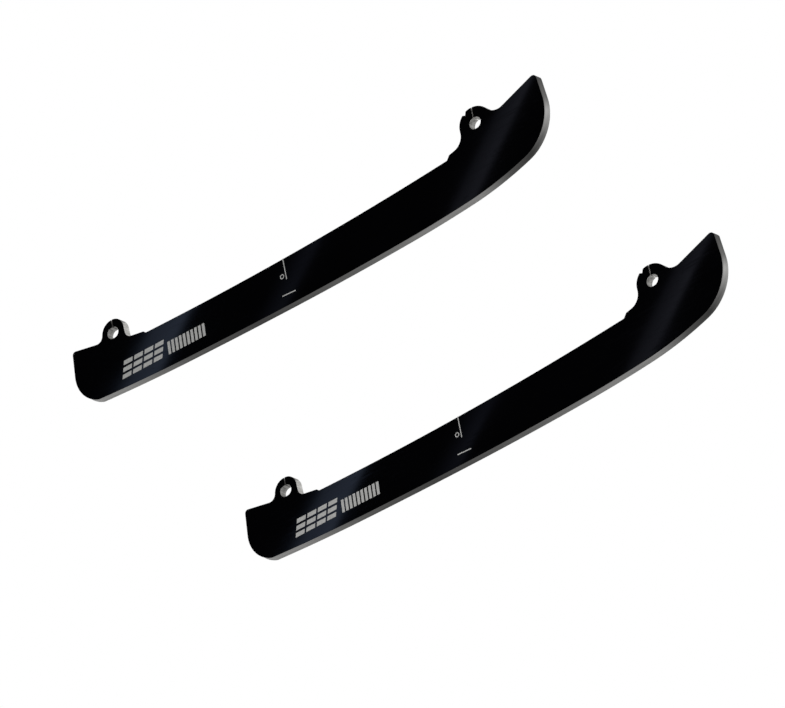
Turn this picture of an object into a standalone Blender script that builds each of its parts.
"""A pair of bolt-in ice hockey runners, lying flat side by side.

Each runner is one steel plate. Its profile is drawn in its own plane, in millimetres: X runs from
the heel's back edge to the toe, and Y up from the lowest point of the ice edge to the bolt ears.
In the scene a runner lies on its far face, with its ears towards +Y and its near face up.
"""

from math import acos, asin, atan2, ceil, cos, dist, pi, radians, sin, tan

import bmesh
import bpy
from mathutils import Vector

MM = 0.001

# Plate
LENGTH = 272.0
THICKNESS = 3.9
EAR_TOP = 42.7  # highest point of the plate, the front ear

# Where the second runner lies, from the first
SHIFT_ALONG = 72.0
SHIFT_ACROSS = -116.0

# Ice edge: from its lowest point it rises both ways on arcs that run on smoothly, each given as
# (radius, X where it ends)
PIVOT_X = 187.0
HEEL_ROCKER = ((1800.0, 120.0), (3000.0, 60.0), (1000.0, 10.4))
TOE_ROCKER = ((650.0, 222.0), (165.0, 256.0))

# Toe
TOE_RADIUS = 21.6
TOE_LEAN = radians(5.8)  # the toe's front leans back from upright
TIP_HEIGHT = 42.0
TIP_RADIUS = 2.2

# Heel
HEEL_BOTTOM_RADIUS = 3.0
HEEL_LOW = (-1.2, 12.57)  # where the tangents of the big round corner meet
HEEL_RADIUS = 15.4
HEEL_TOP = (1.5, 36.5)
HEEL_TOP_RADIUS = 1.6

# Rear ear
REAR_EYE = (24.8, 34.75)
REAR_EYE_LENGTH = 6.1  # an oval, so that the rear bolt finds its place
REAR_EYE_HEIGHT = 5.2
REAR_SLIT = 25.35
REAR_EAR_TOP = 41.05
REAR_EAR_LEFT = 20.0
REAR_EAR_RIGHT = 31.05
REAR_EAR_LEFT_RADIUS = 6.3
REAR_EAR_RIGHT_RADIUS = 5.7
REAR_VALLEY = (18.1, 32.95)
REAR_VALLEY_RADIUS = 3.3
REAR_NECK_RADIUS = 3.4

# Front ear
FRONT_EYE = (234.65, 34.72)
FRONT_EYE_LENGTH = 6.2
FRONT_EYE_HEIGHT = 5.4
FRONT_SLIT = 234.35
FRONT_EAR_LEFT = 225.95
FRONT_EAR_RADIUS = 7.55
FRONT_SHOULDER_X = 238.8
FRONT_SHOULDER_RADIUS = 10.4
FRONT_VALLEY = (245.2, 34.05)
FRONT_VALLEY_RADIUS = 7.3
FRONT_NECK_RADIUS = 6.2

# Top edge, slightly hollow between the two seats that bear on the holder
REAR_SEAT_END = (40.75, 27.45)
REAR_STEP_FOOT = (41.9, 26.35)
TOP_EDGE_LOW = (128.7, 21.5)  # where the tangents at its two ends meet
TOP_EDGE_RADIUS = 1770.0
FRONT_STEP_FOOT = (216.1, 25.07)
FRONT_SEAT_END = (217.75, 27.0)
SEAT_SLOPE = 0.19
STEP_RADIUS = 0.6

# Saw slits from the eyes to the tops of the ears, and the nick in the front ear
SLIT_WIDTH = 0.5
NICK_CORNER = (230.35, 40.6)
NICK_TURN = radians(-22.0)
NICK_SIZE = 3.0

ARC_TOLERANCE = 0.005  # most that an arc may stand off its straight pieces
SAME_POINT = 0.001  # an arc may start where the one before it ends
CUT_MARGIN = 2.0  # how far a cutter runs past the plate


def arc_steps(radius, angle):
    """The number of straight pieces that keeps an arc within the tolerance."""
    return max(1, ceil(angle / (2 * acos(1 - ARC_TOLERANCE / radius))))


def rocker_side(spans, direction):
    """Points from the lowest point of the ice edge towards the toe (1) or the heel (-1), and the
    edge's angle where they end."""
    points = [(PIVOT_X, 0.0)]
    start_angle = 0.0
    for radius, end_x in spans:
        x, y = points[-1]
        end_angle = asin(sin(start_angle) + abs(end_x - x) / radius)
        steps = arc_steps(radius, end_angle - start_angle)
        for step in range(1, steps + 1):
            angle = start_angle + (end_angle - start_angle) * step / steps
            along = radius * (sin(angle) - sin(start_angle))
            rise = radius * (cos(start_angle) - cos(angle))
            points.append((x + direction * along, y + rise))
        start_angle = end_angle
    return points, start_angle


def rounded(corners):
    """An open path through corners (x, y, radius), from the first to the last, which stay sharp."""
    path = [corners[0][:2]]
    for before, corner, after in zip(corners, corners[1:], corners[2:]):
        here = Vector(corner[:2])
        back = (Vector(before[:2]) - here).normalized()
        ahead = (Vector(after[:2]) - here).normalized()
        turn = pi - back.angle(ahead)
        radius = corner[2]
        centre = here + (back + ahead).normalized() * radius / cos(turn / 2)
        start = here + back * radius * tan(turn / 2) - centre
        turn_sign = 1 if ahead.x * back.y - ahead.y * back.x > 0 else -1
        steps = arc_steps(radius, turn)
        for step in range(steps + 1):
            angle = atan2(start.y, start.x) + turn_sign * turn * step / steps
            path.append((centre.x + radius * cos(angle), centre.y + radius * sin(angle)))
    path.append(corners[-1][:2])
    return path


def toe_corners(start, slope):
    """The big round corner of the toe and its tip, running on from the end of the ice edge."""
    reach = TOE_RADIUS * tan((pi / 2 + TOE_LEAN - slope) / 2)
    round_x = start[0] + reach * cos(slope)
    round_y = start[1] + reach * sin(slope)
    tip_x = round_x - (TIP_HEIGHT - round_y) * tan(TOE_LEAN)
    return [(round_x, round_y, TOE_RADIUS), (tip_x, TIP_HEIGHT, TIP_RADIUS)]


def front_ear_corners():
    neck_y = FRONT_SEAT_END[1] + SEAT_SLOPE * (FRONT_EAR_LEFT - FRONT_SEAT_END[0])
    return [
        (*FRONT_VALLEY, FRONT_VALLEY_RADIUS),
        (FRONT_SHOULDER_X, EAR_TOP, FRONT_SHOULDER_RADIUS),
        (FRONT_EAR_LEFT, EAR_TOP, FRONT_EAR_RADIUS),
        (FRONT_EAR_LEFT, neck_y, FRONT_NECK_RADIUS),
    ]


def top_edge_corners():
    return [
        (*FRONT_SEAT_END, STEP_RADIUS),
        (*FRONT_STEP_FOOT, STEP_RADIUS),
        (*TOP_EDGE_LOW, TOP_EDGE_RADIUS),
        (*REAR_STEP_FOOT, STEP_RADIUS),
        (*REAR_SEAT_END, STEP_RADIUS),
    ]


def rear_ear_corners():
    neck_y = REAR_SEAT_END[1] + SEAT_SLOPE * (REAR_SEAT_END[0] - REAR_EAR_RIGHT)
    return [
        (REAR_EAR_RIGHT, neck_y, REAR_NECK_RADIUS),
        (REAR_EAR_RIGHT, REAR_EAR_TOP, REAR_EAR_RIGHT_RADIUS),
        (REAR_EAR_LEFT, REAR_EAR_TOP, REAR_EAR_LEFT_RADIUS),
        (*REAR_VALLEY, REAR_VALLEY_RADIUS),
    ]


def heel_corners(ice_edge_end):
    return [
        (*HEEL_TOP, HEEL_TOP_RADIUS),
        (*HEEL_LOW, HEEL_RADIUS),
        (*ice_edge_end, HEEL_BOTTOM_RADIUS),
    ]


def profile():
    """The plate's closed outline, anticlockwise from the lowest point of the ice edge."""
    to_toe, toe_slope = rocker_side(TOE_ROCKER, 1)
    to_heel, _ = rocker_side(HEEL_ROCKER, -1)
    corners = [to_toe[-1]]
    corners += toe_corners(to_toe[-1], toe_slope)
    corners += front_ear_corners() + top_edge_corners() + rear_ear_corners()
    corners += heel_corners(to_heel[-1])
    corners += [to_heel[-2]]
    path = to_toe[:-1] + rounded(corners) + to_heel[-3:0:-1]
    return [here for before, here in zip(path[-1:] + path, path) if dist(before, here) > SAME_POINT]


def oval(centre, length, height):
    """An outline with round ends, anticlockwise; equal length and height give a circle."""
    radius = height / 2
    straight = (length - height) / 2
    steps = arc_steps(radius, pi)
    points = []
    for side in (1, -1):
        for step in range(steps + 1):
            angle = pi * step / steps - pi / 2
            x = side * (straight + radius * cos(angle))
            y = side * radius * sin(angle)
            points.append((centre[0] + x, centre[1] + y))
    return points


def slit(middle, eye, ear_top):
    """A saw slit round x = middle, from the eye's centre out through the ear's top."""
    left = middle - SLIT_WIDTH / 2
    right = middle + SLIT_WIDTH / 2
    top = ear_top + CUT_MARGIN
    return [(left, eye[1]), (right, eye[1]), (right, top), (left, top)]


def nick():
    """A square turned a little, with its lower right corner at the nick's inner corner."""
    along = Vector((-cos(NICK_TURN), -sin(NICK_TURN))) * NICK_SIZE
    up = Vector((-sin(NICK_TURN), cos(NICK_TURN))) * NICK_SIZE
    corner = Vector(NICK_CORNER)
    return [tuple(p) for p in (corner, corner + up, corner + up + along, corner + along)]


def extruded(name, outline, bottom, top):
    """A mesh with this outline between two heights. All sizes are in millimetres."""
    shape = bmesh.new()
    corners = [shape.verts.new((x * MM, y * MM, bottom * MM)) for x, y in outline]
    face = shape.faces.new(corners)
    grown = bmesh.ops.extrude_face_region(shape, geom=[face])["geom"]
    raised = [item for item in grown if isinstance(item, bmesh.types.BMVert)]
    bmesh.ops.translate(shape, verts=raised, vec=(0, 0, (top - bottom) * MM))
    bmesh.ops.recalc_face_normals(shape, faces=shape.faces)
    mesh = bpy.data.meshes.new(name)
    shape.to_mesh(mesh)
    shape.free()
    return mesh


def black_coating():
    material = bpy.data.materials.new("black_coating")
    material.use_nodes = True
    shader = material.node_tree.nodes["Principled BSDF"]
    shader.inputs["Base Color"].default_value = (0.008, 0.009, 0.012, 1.0)
    shader.inputs["Metallic"].default_value = 0.0
    shader.inputs["Roughness"].default_value = 0.15
    return material


def add_object(name, mesh, location=(0, 0, 0), parent=None):
    added = bpy.data.objects.new(name, mesh)
    added.location = location
    added.parent = parent
    bpy.context.scene.collection.objects.link(added)
    return added


def cut(runner, cut_name, cutter_mesh):
    """Takes a cutter's shape out of a runner."""
    cutter = add_object(f"{runner.name}_{cut_name}_cutter", cutter_mesh, parent=runner)
    cutter.hide_render = True
    cutter.display_type = "WIRE"
    modifier = runner.modifiers.new(cut_name, "BOOLEAN")
    modifier.operation = "DIFFERENCE"
    modifier.solver = "EXACT"
    modifier.object = cutter


def add_runner(name, plate, cutters, location):
    runner = add_object(name, plate, location)
    for cut_name, cutter_mesh in cutters.items():
        cut(runner, cut_name, cutter_mesh)
    return runner


def main():
    for old in list(bpy.data.objects):
        bpy.data.objects.remove(old)

    plate = extruded("runner_plate", profile(), 0, THICKNESS)
    plate.materials.append(black_coating())
    cuts = {
        "rear_eye": oval(REAR_EYE, REAR_EYE_LENGTH, REAR_EYE_HEIGHT),
        "rear_slit": slit(REAR_SLIT, REAR_EYE, REAR_EAR_TOP),
        "front_eye": oval(FRONT_EYE, FRONT_EYE_LENGTH, FRONT_EYE_HEIGHT),
        "front_slit": slit(FRONT_SLIT, FRONT_EYE, EAR_TOP),
        "nick": nick(),
    }
    cutters = {
        name: extruded(f"{name}_cut", outline, -CUT_MARGIN, THICKNESS + CUT_MARGIN)
        for name, outline in cuts.items()
    }

    # The pair is centred on the origin, with the first runner towards the ears' side
    left_x = -(LENGTH + SHIFT_ALONG) / 2
    left_y = -(EAR_TOP + SHIFT_ACROSS) / 2
    right_x = left_x + SHIFT_ALONG
    right_y = left_y + SHIFT_ACROSS
    add_runner("left_runner", plate, cutters, (left_x * MM, left_y * MM, 0))
    add_runner("right_runner", plate, cutters, (right_x * MM, right_y * MM, 0))


main()
